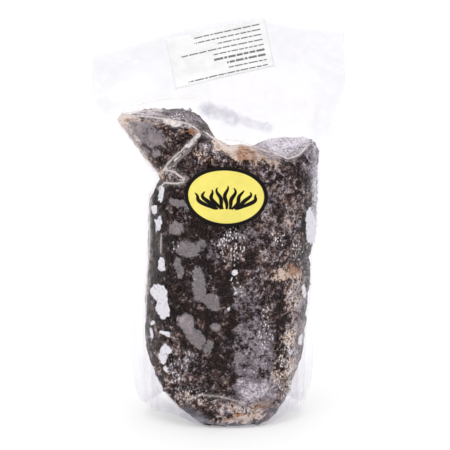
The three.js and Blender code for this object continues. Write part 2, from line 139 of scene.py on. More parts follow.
AMBER_PATCHES = [
    (17.0, 160.6, 11, 9, -35, 1.3), (-16.5, 174.0, 9, 6, -20, 1.0), (-34.8, 148.5, 5, 7, 0, 0.9),
    (-55.0, 182.6, 9, 3.4, -14, 0.9), (26.0, 5.5, 10, 3, 18, 1.1), (9.0, 0.0, 15, 3, 14, 1.1),
    (46.5, 90.3, 8, 6, 0, 0.95), (28.0, 162.5, 9, 3, -26, 0.9), (9.0, 166.0, 7, 3, -20, 0.7),
]
# Dark patches: the seaweed's darker tone, with painted shade down the block's left side.
GLOOM_PATCHES = [
    (-36.0, 92.0, 11, 104, 2, 0.8), (-6.0, 116.0, 32, 32, 0, 0.9), (30.0, 78.0, 12, 12, 0, 0.5),
    (-12.0, 55.0, 28, 56, 0, 0.6), (-12.0, 14.0, 26, 3, -16, 0.9), (6.0, 84.0, 14, 16, 0, 0.8),
    (-40.0, 122.0, 5, 50, 0, 0.4), (-2.0, 96.0, 24, 10, 0, 0.7), (-6.0, 149.0, 34, 8, 0, 0.3),
    (18.0, 99.0, 14, 10, 0, 0.7), (-5.5, 114.0, 12, 16, 0, 1.3), (-32.0, 66.0, 10, 30, 0, 0.5),
    (-20.0, 105.0, 34, 56, 0, 0.6),
]
# Where the painted glints show: white specks of painted highlight on the seaweed.
GLINT_PATCHES = [
    (8.0, 104.0, 16, 24, 0, 1.0), (37.5, 110.5, 11, 12, 0, 0.8), (48.5, 102.0, 7, 16, 0, 0.7),
    (11.0, 80.0, 10, 12, 0, 0.8), (28.5, 55.0, 9, 30, 0, 0.8), (-27.0, 32.0, 22, 36, 0, 0.5),
    (-25.0, 184.5, 12, 5, 0, 0.9), (42.0, 30.0, 18, 50, 0, 0.6), (-16.0, 14.0, 30, 10, 0, 0.5),
    (-34.0, 150.0, 10, 8, 0, 0.6), (26.0, 128.0, 20, 20, 0, 0.4), (-26.0, 104.0, 12, 10, 0, 0.5),
]

# Lines on the front in the same view: points along each line, then its width and strength.
# Dark lines along the block's creases and dips: painted shade.
GLOOM_LINES = [
    ([(-15, 171), (-27, 161), (-37, 152)], 10, 0.7), ([(8.8, 73), (7.0, 45), (9.5, 11.3)], 5.5, 0.9),
    ([(37, 56), (38.0, 36), (38.5, 17)], 7.0, 0.85), ([(-3, 183), (2, 175), (6, 164)], 5, 0.6),
    ([(38, 158.5), (46, 157.5), (54, 164)], 2.6, 1.2), ([(-26.5, 118), (-24.5, 78), (-26, 56)], 4, 0.5),
]
# Painted highlights along the film's folds and edges; the film's creases follow these lines too.
FOLD_HIGHLIGHT_LINES = [
    ([(-57.8, 185.5), (-45.5, 187.0), (-35, 187.6)], 5.0, 0.6),
    ([(-55.9, 184.5), (-42.4, 183.5), (-30, 181.3), (-17.7, 178.5), (-12.1, 174.8)], 5.0, 0.62),
    ([(-60.0, 180.3), (-53.8, 171.6), (-46.6, 162.2), (-40.6, 153.8), (-35.4, 148.5)], 5.0, 0.6),
    ([(-12.1, 173), (-20.8, 164.2), (-30, 156), (-34.4, 149.5)], 3.0, 0.62),
    ([(-32.5, 151.4), (-27, 150.2), (-21.4, 145.8)], 5.0, 0.8),
    ([(-36.2, 140.3), (-32.5, 143.4), (-25.1, 142.7), (-21.5, 143.5)], 3.0, 0.7),
    ([(-7.2, 173), (2, 165.6)], 4.0, 0.8),
    ([(-19, 10), (-11.5, 13.8), (2, 12.6), (16.2, 8.2)], 3.0, 0.3),
    ([(4.0, 169.0), (12.0, 168.6), (20.0, 165.4), (30, 161.6)], 4.0, 0.4),
    ([(34, 160.8), (42, 157.6), (49, 160.4), (54, 166)], 3.0, 0.7),
    ([(-35.2, 101), (-34.8, 112)], 2.4, 0.4),
    ([(-42.0, 137), (-42.4, 105), (-44.4, 80), (-45, 60)], 4.0, 0.8),
    ([(-53.7, 190.3), (-35, 194), (-13.6, 195)], 6.0, 0.2),
]
# Painted shade in the folds of the empty film, and a painted shadow in the film below the block.
FILM_SHADE_LINES = [
    ([(-7, 188.6), (2, 185.3), (9, 182.6)], 9.0, 0.36), ([(6, 184), (20.5, 179), (31, 177)], 6.0, 0.22),
    ([(-42.4, 8.9), (-30, 2.7), (-17.7, -1.0), (-11.5, -3.5)], 10.0, 0.12),
    ([(-22, -1.0), (-12.5, -2.5)], 5.0, 0.35),
    ([(3.9, -5.8), (22.4, -3.8), (37.8, 3.0), (50.2, 11.5)], 8.0, 0.10),
    ([(-9.7, -3.4), (-3.5, -4.3), (4, -6.4)], 1.6, 1.1),
]


# Fields of the marks, one value for each point


def smoothstep(low, high, value):
    t = np.clip((value - low) / (high - low), 0, 1)
    return t * t * (3 - 2 * t)


def from_centre(mark, across, up):
    """How far each point is from an oval mark's centre: 0 there, and 1 on its outline."""
    centre_across, centre_up, width, height, tilt = mark
    turn = math.radians(tilt)
    du, dv = across - centre_across, up - centre_up
    a = (du * math.cos(turn) + dv * math.sin(turn)) / (width / 2)
    b = (dv * math.cos(turn) - du * math.sin(turn)) / (height / 2)
    return np.hypot(a, b)


def mark_field(marks, across, up, softness):
    """The strongest of a list of marks at each point, each fading out over `softness` of its half size."""
    field = np.zeros(len(across))
    for *mark, strength in marks:
        away = from_centre(mark, across, up)
        field = np.maximum(field, strength * smoothstep(1 + softness, 1 - softness, away))
    return field


def mark_depth(marks, across, up):
    """How far inside the nearest mark each point lies, in millimetres, negative outside."""
    depth = np.full(len(across), NO_POCKET)
    for mark in marks:
        width, height = mark[2:4]
        depth = np.maximum(depth, (1 - from_centre(mark, across, up)) * min(width, height) / 2)
    return depth


def from_line(stops, across, up):
    """Distance of each point to a line through `stops`: positive on its left and negative on its right."""
    nearest = np.full(len(across), FAR)
    for (a0, u0), (a1, u1) in zip(stops, stops[1:]):
        run, rise = a1 - a0, u1 - u0
        t = np.clip(((across - a0) * run + (up - u0) * rise) / (run * run + rise * rise), 0, 1)
        away = np.hypot(across - a0 - run * t, up - u0 - rise * t)
        side = np.where(run * (up - u0) >= rise * (across - a0), 1, -1)
        nearest = np.where(away < np.abs(nearest), away * side, nearest)
    return nearest


def line_field(lines, across, up):
    """The strongest of a list of soft lines at each point."""
    field = np.zeros(len(across))
    for stops, width, strength in lines:
        away = np.abs(from_line(stops, across, up))
        field = np.maximum(field, strength * smoothstep(width * 0.75, width * 0.2, away))
    return field


def signed_distance(lines, across, up):
    """The signed distance of each point to the nearest of a list of lines."""
    nearest = np.full(len(across), FAR)
    for stops, _, _ in lines:
        distance = from_line(stops, across, up)
        nearest = np.where(np.abs(distance) < np.abs(nearest), distance, nearest)
    return nearest


# Settings


class SeaweedSettings(bpy.types.PropertyGroup):
    grain: FloatProperty(name="Surface grain", description="Voxel size of the block's surface",
                         default=0.00092, unit="LENGTH")
    swell: FloatProperty(name="Swell", description="How far smoothing is made good, outwards",
                         default=0.0007, unit="LENGTH")
    ridge_depth: FloatProperty(name="Ridge depth", description="Depth of the fine thread relief",
                               default=0.0010, unit="LENGTH")
    ridge_pitch: FloatProperty(name="Ridge pitch", description="Spacing of the fine thread relief",
                               default=0.0042, unit="LENGTH")
    thread_count: IntProperty(name="Threads", description="Number of single threads", default=340)
    thread_radius: FloatProperty(name="Thread radius", description="Radius of a thick thread",
                                 default=0.0008, unit="LENGTH")
    dark: FloatVectorProperty(name="Dark", description="Wet hollows", subtype="COLOR",
                              default=(0.010, 0.0045, 0.004))
    shade: FloatVectorProperty(name="Shade", description="Wet threads", subtype="COLOR",
                               default=(0.034, 0.019, 0.017))
    flesh: FloatVectorProperty(name="Flesh", description="Mid brown of the threads", subtype="COLOR",
                               default=(0.108, 0.070, 0.068))
    light: FloatVectorProperty(name="Light", description="Threads near the surface", subtype="COLOR",
                               default=(0.215, 0.165, 0.168))
    pale: FloatVectorProperty(name="Pale", description="Dry flecks", subtype="COLOR",
                              default=(0.64, 0.58, 0.585))
    white: FloatVectorProperty(name="White", description="The driest flecks", subtype="COLOR",
                               default=(0.90, 0.86, 0.84))
    amber: FloatVectorProperty(name="Amber", description="Thick frozen juice", subtype="COLOR",
                               default=(0.38, 0.165, 0.070))
    cream: FloatVectorProperty(name="Cream", description="Juice frozen white", subtype="COLOR",
                               default=(0.88, 0.78, 0.70))
    peach: FloatVectorProperty(name="Peach", description="Thin frozen juice", subtype="COLOR",
                               default=(0.72, 0.54, 0.42))
    frost: FloatVectorProperty(name="Frost", description="Frost on the threads", subtype="COLOR",
                               default=(0.215, 0.185, 0.205))
    snow: FloatVectorProperty(name="Snow", description="Thick frost", subtype="COLOR",
                              default=(0.84, 0.80, 0.86))
    # Painted highlight: the colour of the glint specks.
    glint: FloatVectorProperty(name="Glint", description="Splinters of ice", subtype="COLOR",
                               default=(0.93, 0.91, 0.90))


class FilmSettings(bpy.types.PropertyGroup):
    thickness: FloatProperty(name="Thickness", description="Thickness of the film", default=0.00014,
                             unit="LENGTH")
    crease_depth: FloatProperty(name="Crease depth", description="Depth of the film's soft creases",
                                default=0.0014, unit="LENGTH")
    reflection: FloatProperty(name="Reflection", description="Share of light that the film reflects face on",
                               default=0.005)
    edge_reflection: FloatProperty(name="Edge reflection", description="The same at a grazing angle, added",
                                   default=0.34)
    tint: FloatVectorProperty(name="Tint", description="What the clear film lets through", subtype="COLOR",
                              default=(0.985, 0.982, 0.990))
    # Painted reflection: the white of the film over the air pockets.
    air: FloatVectorProperty(name="Air pocket", description="Frosted film over air", subtype="COLOR",
                             default=(0.80, 0.77, 0.83))
    # Painted sheen: the grey of the film just off the seaweed.
    veil: FloatVectorProperty(name="Veil", description="Film just off the seaweed", subtype="COLOR",
                              default=(0.17, 0.135, 0.152))
    # Painted highlight along the film's folds.
    fold_highlight: FloatVectorProperty(name="Streak", description="Folds of the film with dry juice in them",
                                subtype="COLOR", default=(0.80, 0.725, 0.71))
    # Painted shade in the film's folds, and a painted shadow below the block.
    film_shade: FloatVectorProperty(name="Smudge", description="Shaded folds of the empty film", subtype="COLOR",
                                default=(0.36, 0.35, 0.44))


class LabelSettings(bpy.types.PropertyGroup):
    paper_thickness: FloatProperty(name="Paper", description="Thickness of the labels", default=0.00012,
                                   unit="LENGTH")
    drop: FloatProperty(name="Drop", description="How far the oval label sits under the solid's",
                        default=0.0010, unit="LENGTH")
    rim: FloatProperty(name="Rim", description="Width of the oval label's dark rim", default=0.0022,
                       unit="LENGTH")
    yellow: FloatVectorProperty(name="Yellow", description="Oval label's ground", subtype="COLOR",
                                default=(0.92, 0.80, 0.18))
    ink: FloatVectorProperty(name="Ink", description="Rim and motif", subtype="COLOR",
                             default=(0.007, 0.005, 0.0055))
    white: FloatVectorProperty(name="White", description="White label's paper", subtype="COLOR",
                               default=(0.95, 0.95, 0.955))
    grey: FloatVectorProperty(name="Grey", description="White label's bars", subtype="COLOR",
                              default=(0.20, 0.20, 0.21))


class StageSettings(bpy.types.PropertyGroup):
    lens: FloatProperty(name="Lens", description="Focal length of the camera, in millimetres", default=200)
    distance: FloatProperty(name="Distance", description="Camera distance", default=1.545, unit="LENGTH")


class MozukuSettings(bpy.types.PropertyGroup):
    seaweed: PointerProperty(type=SeaweedSettings)
    film: PointerProperty(type=FilmSettings)
    label: PointerProperty(type=LabelSettings)
    stage: PointerProperty(type=StageSettings)


def settings():
    return bpy.context.scene.mozuku


# Mesh helpers


def object_from(bm, name):
    """A new object at the origin from a bmesh, which is freed."""
    mesh = bpy.data.meshes.new(name)
    bm.to_mesh(mesh)
    bm.free()
    piece = bpy.data.objects.new(name, mesh)
    bpy.context.scene.collection.objects.link(piece)
    return piece


def settle(piece, node, material):
    """The last step for every piece: its material, its body and the node it stands for."""
    piece.data.materials.clear()
    piece.data.materials.append(material)
    for polygon in piece.data.polygons:
        polygon.use_smooth = True
    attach(piece, BODY)
    if node:
        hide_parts(node)
    return piece


def merged_copy(node):
    bm = bmesh.new()
    bm.from_mesh(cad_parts[node].data)
    bmesh.ops.remove_doubles(bm, verts=bm.verts, dist=1e-6)
    bm.normal_update()
    return bm


def apply_modifiers(piece):
    """Puts the result of the piece's modifiers in its mesh."""
    evaluated = piece.evaluated_get(bpy.context.evaluated_depsgraph_get())
    mesh = bpy.data.meshes.new_from_object(evaluated)
    piece.modifiers.clear()
    piece.data = mesh
    return piece


def tree_of(name):
    bm = bmesh.new()
    bm.from_mesh(bpy.data.objects[name].data)
    tree = BVHTree.FromBMesh(bm)
    bm.free()
    return tree


def points_of(mesh):
    flat = np.empty(len(mesh.vertices) * 3, np.float32)
    mesh.vertices.foreach_get("co", flat)
    return flat.reshape(-1, 3).astype(float)


def normals_of(mesh):
    flat = np.empty(len(mesh.vertices) * 3, np.float32)
    mesh.vertex_normals.foreach_get("vector", flat)
    return flat.reshape(-1, 3).astype(float)


def move_points(mesh, points):
    mesh.vertices.foreach_set("co", points.astype(np.float32).ravel())
    mesh.update()


def write_field(mesh, name, values):
    attribute = mesh.attributes.get(name) or mesh.attributes.new(name, "FLOAT", "POINT")
    attribute.data.foreach_set("value", values.astype(np.float32))


def front_view(points, wander=0.0):
    """Where points lie as the front is seen from above at the view's tilt, in millimetres.

    `wander` shifts them by noise, so that marks placed there get ragged outlines.
    """
    up = points[:, 2] * math.cos(VIEW_TILT) + points[:, 1] * math.sin(VIEW_TILT)
    shift = np.zeros((len(points), 2))
    if wander:
        for i, point in enumerate(points):
            place = Vector(point)
            drift = noise.noise_vector(place * 130) * wander
            drift += noise.noise_vector(place * 370) * (wander * 0.55)
            shift[i] = drift.x, drift.z
    return points[:, 0] / MM + shift[:, 0], up / MM + shift[:, 1]


def scattered_field(points, seed, count, low, high, softness):
    """`count` marks, `low` to `high` in size, at random places all round the back and sides."""
    draw = random.Random(seed)
    field = np.zeros(len(points))
    for _ in range(count):
        centre = points[draw.randrange(len(points))]
        across, up = draw.uniform(low, high), draw.uniform(low, high) * 1.4
        strength = draw.uniform(0.5, 1)
        level = np.hypot(points[:, 0] - centre[0], points[:, 1] - centre[1]) / across
        away = np.hypot(level, (points[:, 2] - centre[2]) / up)
        if centre[1] > -0.012:
            field = np.maximum(field, strength * smoothstep(1 + softness, 1 - softness, away))
    return field


def behind(points, reach):
    """1 on the back and the sides, 0 where the marks hold: on the front, and on the top up to `reach`."""
    top = smoothstep(0.150, 0.168, points[:, 2])
    return smoothstep(-0.004, 0.008, points[:, 1] - reach * top)


# Node helpers


class Graph:
    """A material's node tree, with short calls that add a node and wire its inputs."""

    def __init__(self, name):
        self.material = bpy.data.materials.new(name)
        self.material.use_nodes = True
        self.tree = self.material.node_tree
        self.tree.nodes.clear()
        self.place = self.node("ShaderNodeTexCoord").outputs["Object"]

    def node(self, kind, inputs=None, **options):
        made = self.tree.nodes.new(kind)
        for key, value in options.items():
            setattr(made, key, value)
        for key, value in (inputs or {}).items():
            if isinstance(value, bpy.types.NodeSocket):
                self.tree.links.new(value, made.inputs[key])
            elif value is not None:
                made.inputs[key].default_value = value
        return made

    def math(self, operation, a, b=None, c=None, clamp=False):
        inputs = {0: a, 1: b, 2: c}
        return self.node("ShaderNodeMath", inputs, operation=operation, use_clamp=clamp).outputs[0]

    def add(self, base, value, weight):
        return self.math("MULTIPLY_ADD", value, weight, base)

    def add_noise(self, base, value, weight):
        """The base and a weighted noise, which is brought to a mean of 0 first."""
        return self.add(base, self.math("SUBTRACT", value, 0.5), weight)

    def noise(self, size, detail=3.0, roughness=0.5, distortion=0.0):
        inputs = {"Vector": self.place, "Scale": 1 / size, "Detail": detail, "Roughness": roughness,
                  "Distortion": distortion}
        return self.node("ShaderNodeTexNoise", inputs).outputs["Fac"]

    def bump(self, height, strength, distance):
        inputs = {"Height": height, "Strength": strength, "Distance": distance}
        return self.node("ShaderNodeBump", inputs).outputs[0]

    def field(self, name):
        return self.node("ShaderNodeAttribute", attribute_name=name).outputs["Fac"]

    def above(self, value, level, width):
        """0 below the level and 1 above it, over the given width. A negative width turns it round."""
        inputs = {"Value": value, "From Min": level - width / 2, "From Max": level + width / 2}
        return self.node("ShaderNodeMapRange", inputs, interpolation_type="SMOOTHSTEP").outputs[0]

    def ramp(self, value, stops):
        made = self.node("ShaderNodeValToRGB", {"Fac": value})
        elements = made.color_ramp.elements
        elements[0].position, elements[1].position = stops[0][0], stops[-1][0]
        for at, _ in stops[1:-1]:
            elements.new(at)
        for element, (_, colour) in zip(elements, stops):
            element.color = (*colour, 1)
        return made.outputs["Color"]

    def colour(self, factor, a, b, blend="MIX"):
        made = self.node("ShaderNodeMix", {"Factor": factor}, data_type="RGBA", blend_type=blend)
        for socket, value in ((made.inputs[6], a), (made.inputs[7], b)):
            if isinstance(value, bpy.types.NodeSocket):
                self.tree.links.new(value, socket)
            else:
                socket.default_value = (*value, 1)
        return made.outputs[2]

    def finish(self, shader):
        self.node("ShaderNodeOutputMaterial", {"Surface": shader})
        return self.material


def scaled(colour, factor):
    return tuple(part * factor for part in colour)


# The seaweed's material


def mottle(g, patchy, grain):
    """Light and dark of the matted threads around 0, with a fine speckle that grows with cream and frost."""
    broad = g.noise(0.010, 3, 0.55)
    fleck = g.noise(0.00085, 2, 0.7)
    coarse = g.add(g.add(-0.5 * (0.8 + 1.6), patchy, 1.6), broad, 0.8)
    fine = g.add(g.add(-0.5 * (1.8 + 1.0), fleck, 1.0), grain, 1.8)
    speckled = g.math("MAXIMUM", g.field("cream"), g.field("frost"))
    return g.add(coarse, fine, g.add(0.56, speckled, 0.45))


def thread_colour(g, look, level, tone):
    """The threads' browns from wet hollows to dry flecks, warmer or cooler by place, with painted shade in
    the relief's hollows and the gloom.
    """
    # Cream and frost lighten the level; the gloom darkens it with darker tone and painted shade, and the
    # relief's hollows get painted shade.
    for field, weight in (("cream", 0.26), ("gloom", -0.20), ("frost", 0.06), ("hollow", -0.10)):
        level = g.add(level, g.field(field), weight)
    if tone:
        level = g.add(g.math("SUBTRACT", level, 0.13), g.field(tone), 0.22)
    brown = g.ramp(g.math("MULTIPLY", level, 0.8), [
        (0.21, look.dark), (0.33, look.shade), (0.44, look.flesh), (0.545, look.light), (0.705, look.pale),
        (0.90, look.white)])
    creamy = g.math("MULTIPLY", g.field("cream"), 0.8, clamp=True)
    brown = g.colour(1.0, brown, g.colour(creamy, (1, 1, 1), (1.0, 0.94, 0.87)), "MULTIPLY")
    warmth = g.add(g.noise(0.0075, 3, 0.6, 0.5), g.field("gloom"), 0.14)
    hue = g.ramp(warmth, [(0.36, (0.90, 0.97, 1.13)), (0.50, (1, 1, 1)), (0.64, (1.12, 0.98, 0.84))])
    return g.colour(1.0, brown, hue, "MULTIPLY")


def add_juice(g, colour, field, stops, patchy, grain):
    """Frozen juice over the colour, where its field and the noise let it show."""
    amount = g.add_noise(g.add_noise(g.field(field), patchy, 2.2), grain, 2.0)
    tone = g.add(g.math("MULTIPLY", patchy, 0.45), grain, 0.6)
    tone = g.ramp(g.add(g.math("SUBTRACT", tone, 0.12), g.field(field), 0.10), stops)
    return g.colour(g.math("MULTIPLY", g.above(amount, 0.62, 0.5), 0.88), colour, tone)


def add_frost(g, look, colour, ice, level):
    """Grey to white frost over the colour, with painted shade in the hollows between the threads."""
    tone = g.add(0.13, g.add(level, g.field("hollow"), -0.22), 0.62)
    tone = g.ramp(g.add(tone, g.field("frost"), 0.30), [
        (0.10, look.flesh), (0.40, look.frost), (0.62, scaled(look.frost, 1.9)), (0.90, look.snow)])
    return g.colour(g.math("MULTIPLY", g.above(ice, 0.72, 0.45), 0.9), colour, tone)


def add_glints(g, look, colour, patchy):
    """Painted glints over the colour, white specks of painted highlight: half the cells of a fine pattern,
    where the field lets them show.
    """
    stretch = {"Vector": g.place, "Rotation": (0, 0.5, 0), "Scale": (1.5, 1.0, 0.75)}
    place = g.node("ShaderNodeMapping", stretch).outputs[0]
    cells = g.node("ShaderNodeTexVoronoi", {"Vector": place, "Scale": 620.0}).outputs
    glint = g.math("MULTIPLY", g.above(cells["Distance"], 0.36, -0.16), g.above(cells["Color"], 0.50, 0.06))
    shown = g.above(g.add(g.field("glint"), patchy, 1.2), 1.05, 0.3)
    return g.colour(g.math("MULTIPLY", glint, shown), colour, look.glint)


def seaweed_material(name, look, tone=None):
    """Wet brown threads with frozen juice, frost, painted shade and painted glints. `tone` is a field of each
    thread's lightness.
    """
    g = Graph(name)
    patchy = g.noise(0.0036, 3, 0.6, 0.4)
    grain = g.noise(0.0013, 3, 0.7)
    curl = g.math("ABSOLUTE", g.math("SUBTRACT", g.noise(0.0042, 2, 0.5, 1.4), 0.5))
    strand = g.math("MULTIPLY", g.above(curl, 0.022, -0.026), g.above(patchy, 0.48, 0.2))
    light = mottle(g, patchy, grain)
    colour = thread_colour(g, look, g.add(g.math("ADD", light, 0.405), strand, 0.17), tone)
    for field, stops in (("peach", [(0.38, look.amber), (0.48, look.peach), (0.60, look.cream)]),
                         ("amber", [(0.38, look.shade), (0.50, look.amber), (0.66, look.peach)])):
        colour = add_juice(g, colour, field, stops, patchy, grain)
    ice = g.add_noise(g.add_noise(g.field("frost"), patchy, 2.6), grain, 2.8)
    colour = add_frost(g, look, colour, ice, g.add(light, strand, 0.22))
    colour = add_glints(g, look, colour, patchy)
    heights = g.add(g.math("MULTIPLY", patchy, 0.4), grain, 0.6)
    rough = {"Value": ice, "From Min": 0.3, "From Max": 0.8, "To Min": 0.42, "To Max": 0.75}
    shader = g.node("ShaderNodeBsdfPrincipled", {
        "Base Color": colour,
        "Roughness": g.node("ShaderNodeMapRange", rough).outputs[0],
        "Specular IOR Level": 0.07,
        "Normal": g.bump(heights, 0.8, 0.0008),
    })
    return g.finish(shader.outputs[0])


# The other materials


def film_haze(g, look):
    """How matt the film is at each place, and its colour: painted reflection over air pockets, a painted
    sheen of veils, painted shade in folds and below the block, painted highlights along folds, and a blush.
    """
    wobble = g.math("SUBTRACT", g.noise(0.0018, 3, 0.65), 0.5)
    cloud = g.noise(0.006, 4, 0.6, 0.4)
    smear = g.noise(0.0016, 3, 0.65, 0.4)
    # Painted reflection over the air pockets, and a painted grey sheen over the veils.
    pocket = g.above(g.add(g.field("pocket"), wobble, 3.0), 0.0, 0.35)
    pocket = g.math("MULTIPLY", pocket, g.add(0.54, g.above(smear, 0.40, 0.16), 0.40))
    veil = g.above(g.add(g.add_noise(g.field("veil"), cloud, 1.2), wobble, 1.1), 0.45, 0.55)
    veil = g.math("MULTIPLY", veil, g.above(g.field("veil"), 0.15, 0.2))
    veil = g.math("MULTIPLY", veil, g.add(g.add(-0.85, cloud, 2.0), smear, 0.9), clamp=True)
    # Painted shade in the film's folds, and a painted shadow below the block.
    film_shade = g.math("MULTIPLY", g.field("film_shade"), g.add(-0.30, cloud, 2.4))
    # Painted highlights: crisp along the fold lines, with a soft painted glow beside them.
    fold = g.math("ABSOLUTE", g.add(g.field("fold"), wobble, 1.6))
    fold = g.math("SUBTRACT", 1.0, g.above(fold, 0.55, 0.7))
    fold = g.math("MULTIPLY", fold, g.math("MULTIPLY", smear, 1.6))
    halo = g.math("MULTIPLY", g.above(cloud, 0.50, 0.3), 0.22)
    fold_highlight = g.math("MULTIPLY", g.field("fold_highlight"), g.math("MAXIMUM", fold, halo))
    blush = g.math("MULTIPLY", g.field("free"), g.add(0.008, g.above(cloud, 0.55, 0.3), 0.012))
    haze = blush
    for part in (pocket, veil, film_shade, fold_highlight):
        haze = g.math("MAXIMUM", haze, part, clamp=True)
    shade = g.colour(g.above(smear, 0.5, 0.4), look.air, scaled(look.air, 0.85))
    dull = g.ramp(g.field("veil"), [(0.6, look.veil), (1.0, scaled(look.veil, 1.8))])
    shade = g.colour(g.math("MULTIPLY", veil, 2.2, clamp=True), shade, dull)
    grey = g.ramp(g.field("film_shade"), [
        (0.1, scaled(look.film_shade, 1.6)), (0.5, look.film_shade), (0.9, scaled(look.film_shade, 0.12))])
    shade = g.colour(g.above(g.field("film_shade"), 0.05, 0.1), shade, grey)
    shade = g.colour(g.above(g.field("fold_highlight"), 0.05, 0.2), shade, look.fold_highlight)
    return haze, g.colour(pocket, shade, look.air)


def film_material(look):
    """Clear film: it reflects by its angle, and is matt where its haze says so."""
    g = Graph("clear_film")
    haze, shade = film_haze(g, look)
    normal = g.bump(g.noise(0.010, 3, 0.5, 1.0), 0.25, 0.001)
    # Where the haze says so, the film is matt, in the painted reflection, sheen, shade and highlight colours
    # of film_haze.
    matt = g.node("ShaderNodeBsdfPrincipled", {
        "Base Color": shade, "Roughness": 0.45, "Specular IOR Level": 0.2, "Normal": normal})
    clear = g.node("ShaderNodeBsdfTransparent", {"Color": (*look.tint, 1)})
    gloss = g.node("ShaderNodeBsdfGlossy", {
        "Color": (0.95, 0.95, 0.97, 1), "Roughness": 0.12, "Normal": normal})
    facing = g.node("ShaderNodeLayerWeight", {"Blend": 0.5, "Normal": normal}).outputs["Facing"]
    mirror = g.add(look.reflection, g.math("POWER", facing, 4), look.edge_reflection)
    mirror = g.add(mirror, g.field("free"), 0.02)
    skin = g.node("ShaderNodeMixShader", {0: mirror, 1: clear.outputs[0], 2: gloss.outputs[0]})
    whole = g.node("ShaderNodeMixShader", {0: haze, 1: skin.outputs[0], 2: matt.outputs[0]})
    return g.finish(whole.outputs[0])


def paper_material(name, colour, roughness, gloss=0.3):
    """Coated paper: the colour with a faint mottle and a fine tooth."""
    g = Graph(name)
    cloud = g.above(g.noise(0.010, 4, 0.6), 0.55, 0.4)
    shader = g.node("ShaderNodeBsdfPrincipled", {
        "Base Color": g.colour(cloud, colour, scaled(colour, 0.90)),
        "Roughness": roughness,
        "Specular IOR Level": gloss,
        "Normal": g.bump(g.noise(0.0007, 2, 0.6), 0.12, 0.0002),
    })
    return g.finish(shader.outputs[0])


def floor_material():
    g = Graph("pale_floor")
    shader = g.node("ShaderNodeBsdfPrincipled", {
        "Base Color": g.colour(g.noise(0.5, 2, 0.5), (0.56, 0.56, 0.56), (0.58, 0.58, 0.58)),
        "Roughness": 0.8,
        # The floor glows faintly: painted light that thins its shadows and lights the pouch from below.
        "Emission Color": (1, 1, 1, 1),
        "Emission Strength": 0.40,
    })
    return g.finish(shader.outputs[0])


# The seaweed


def write_seaweed_fields(mesh):
    """Where the frost, the pale flecks, the juice, the dark patches with their painted shade and the painted
    glints are, on the front and all round.
    """
    points = points_of(mesh)
    across, up = front_view(points, 2.4)
    for name, marks, reach, softness, seed, count, low, high in (
        ("frost", FROST_PATCHES, TOP_REACH, 0.55, 3, 60, 0.006, 0.016),
        ("cream", CREAM_PATCHES, JUICE_REACH, 0.6, 4, 46, 0.008, 0.020),
        ("peach", PEACH_PATCHES, JUICE_REACH, 0.6, 7, 12, 0.004, 0.010),
        ("amber", AMBER_PATCHES, JUICE_REACH, 0.6, 5, 12, 0.004, 0.008),
        ("gloom", GLOOM_PATCHES, TOP_REACH, 0.6, 6, 44, 0.008, 0.022),
        ("glint", GLINT_PATCHES, TOP_REACH, 0.6, 9, 30, 0.005, 0.012),
    ):
        front = mark_field(marks, across, up, softness)
        if name == "gloom":
            front = np.maximum(front, line_field(GLOOM_LINES, across, up))
        around = scattered_field(points, seed, count, low, high, softness)
        back = behind(points, reach)
        write_field(mesh, name, front * (1 - back) + around * back)


def ridge_height(point, pitch):
    """Fine relief of matted threads, from 0 on a ridge down to 1 in the hollows between them."""
    place = point / pitch
    bent = place + noise.noise_vector(place * 0.22) * 1.6
    over = abs(noise.noise(Vector((bent.x * 0.9 + bent.z * 0.3, bent.y * 0.9, bent.z * 0.45))))
    under = abs(noise.noise(Vector((bent.x * 0.4, bent.y * 0.4 + 7, bent.z * 0.95 - bent.x * 0.4))))
    return min(1.0, 2.6 * min(over, under))


class MOZUKU_OT_block(bpy.types.Operator):
    """Builds the frozen block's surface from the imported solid, with fine thread relief"""

    bl_idname = "mozuku.block"
    bl_label = "Seaweed block"

    def execute(self, context):
        look = settings().seaweed
        piece = object_from(merged_copy("seaweed_block"), "frozen_seaweed")
        remesh = piece.modifiers.new("grain", "REMESH")
        remesh.mode = "VOXEL"
        remesh.voxel_size = look.grain
        apply_modifiers(piece)
        bm = bmesh.new()
        bm.from_mesh(piece.data)
        every_way = {"use_axis_x": True, "use_axis_y": True, "use_axis_z": True}
        for _ in range(SMOOTHINGS):
            bmesh.ops.smooth_vert(bm, verts=bm.verts, factor=0.5, **every_way)
        bm.to_mesh(piece.data)
        bm.free()
        points, normals = points_of(piece.data), normals_of(piece.data)
        depths = np.array([ridge_height(Vector(p), look.ridge_pitch) for p in points])
        move_points(piece.data, points + normals * (look.swell - depths * look.ridge_depth)[:, None])
        write_seaweed_fields(piece.data)
        # The relief's depth, which the material turns into painted shade in the hollows.
        write_field(piece.data, "hollow", depths)
        settle(piece, "seaweed_block", seaweed_material("frozen_seaweed", look))
        return {"FINISHED"}


def on_wedge(point):
    return point.z > WEDGE_FROM and point.x < WEDGE_RIGHT


def thread_path(tree, start, heading, steps, draw):
    """A wandering line on the block's surface: (point, normal) pairs."""
    path = []
    point, turn = start, draw.uniform(-0.12, 0.12)
    for _ in range(steps):
        near, normal, _, _ = tree.find_nearest(point)
        if near is None or near.z < THREAD_FLOOR or on_wedge(near):
            break
        path.append((near, normal))
        turn = 0.8 * turn + draw.uniform(-0.14, 0.14)
        side = normal.cross(heading)
        heading = heading + side * turn
        heading = (heading - normal * heading.dot(normal)).normalized()
        point = near + heading * THREAD_STRIDE
    return path


